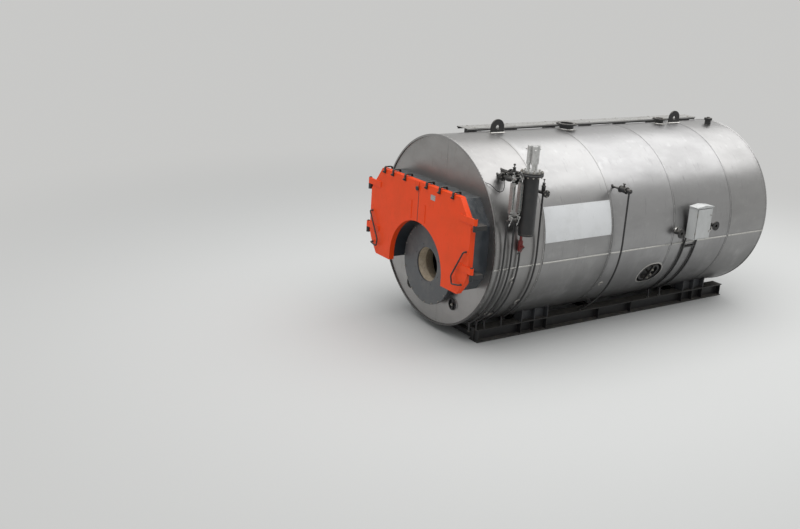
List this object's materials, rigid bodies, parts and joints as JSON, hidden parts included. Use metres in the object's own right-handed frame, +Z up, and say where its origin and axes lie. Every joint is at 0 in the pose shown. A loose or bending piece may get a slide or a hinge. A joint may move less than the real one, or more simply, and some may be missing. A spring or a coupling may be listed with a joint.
{
  "type": "horizontal fire-tube steam boiler",
  "caption": "Horizontal fire-tube steam boiler in stainless cladding on a steel skid, with a two-leaf smokebox door, level controls, crown nozzles and walkway.",
  "frame": {"origin": "centre of the four anchor bolts, at ground level under the skid", "axes": "+X along the shell from the front doors to the rear, +Z up, -Y the side with the level controls and cabinet"},
  "size_m": [8.0217, 3.8702, 3.89],
  "materials": {
    "stainless_sheet": "dull brushed",
    "boiler_steel": "mill scale",
    "smokebox_paint": "satin",
    "orange_paint": "semi-gloss",
    "refractory": "matt",
    "black_paint": "satin",
    "grey_tread": "matt",
    "bright_heads": "cast",
    "red_valve": "satin",
    "white_paint": "satin"
  },
  "bodies": {
    "boiler": {"jacket_course_1": "stainless_sheet", "jacket_course_2": "stainless_sheet", "jacket_course_3": "stainless_sheet", "jacket_course_4": "stainless_sheet", "jacket_course_5": "stainless_sheet", "jacket_front_cover": "stainless_sheet", "jacket_rear_cover": "stainless_sheet", "pressure_shell": "boiler_steel", "front_tube_plate": "boiler_steel", "rear_tube_plate": "boiler_steel", "furnace_tube": "boiler_steel", "reversing_chamber": "boiler_steel", "fire_tubes": "boiler_steel", "smokebox_top": "smokebox_paint", "smokebox_side_left": "smokebox_paint", "smokebox_side_right": "smokebox_paint", "smokebox_arch": "smokebox_paint", "hinge_brackets": "black_paint", "burner_plate": "black_paint", "burner_refractory": "refractory", "front_handholes": "black_paint", "side_manholes": "black_paint", "skid_beam_left": "black_paint", "skid_beam_right": "black_paint", "skid_crossmembers": "black_paint", "saddles": "black_paint", "lifting_lugs": "black_paint", "steam_outlet_nozzle": "black_paint", "safety_valve_nozzle": "black_paint", "vent_stub": "black_paint", "walkway_deck": "grey_tread", "walkway_brackets": "black_paint", "level_chamber": "black_paint", "electrode_heads": "bright_heads", "gauge_glasses": "bright_heads", "level_pipework": "black_paint", "drain_pipes": "black_paint", "drain_valve": "red_valve", "pressure_connection": "black_paint", "sample_valve": "black_paint", "control_cabinet": "white_paint", "cabinet_stand": "black_paint", "feed_nozzles": "black_paint", "sign_plate": "white_paint", "rear_smokebox": "smokebox_paint", "rear_smokebox_back": "smokebox_paint", "rear_cleaning_doors": "black_paint", "flue_outlet": "smokebox_paint", "rear_access_door": "black_paint"},
    "door_left": {"door_left": "orange_paint", "door_lining_left": "refractory", "door_clamps_left": "black_paint"},
    "door_right": {"door_right": "orange_paint", "door_lining_right": "refractory", "door_clamps_right": "black_paint"}
  },
  "joints": [
    {"name": "left_door_hinge", "type": "hinge", "parent": "boiler", "child": "door_left", "pos_m": [-3.985, 1.662, 1.99], "axis": [0, 0, -1], "range_deg": [0, 110]},
    {"name": "right_door_hinge", "type": "hinge", "parent": "boiler", "child": "door_right", "pos_m": [-3.985, -1.662, 1.99], "axis": [0, 0, 1], "range_deg": [0, 110]}
  ]
}
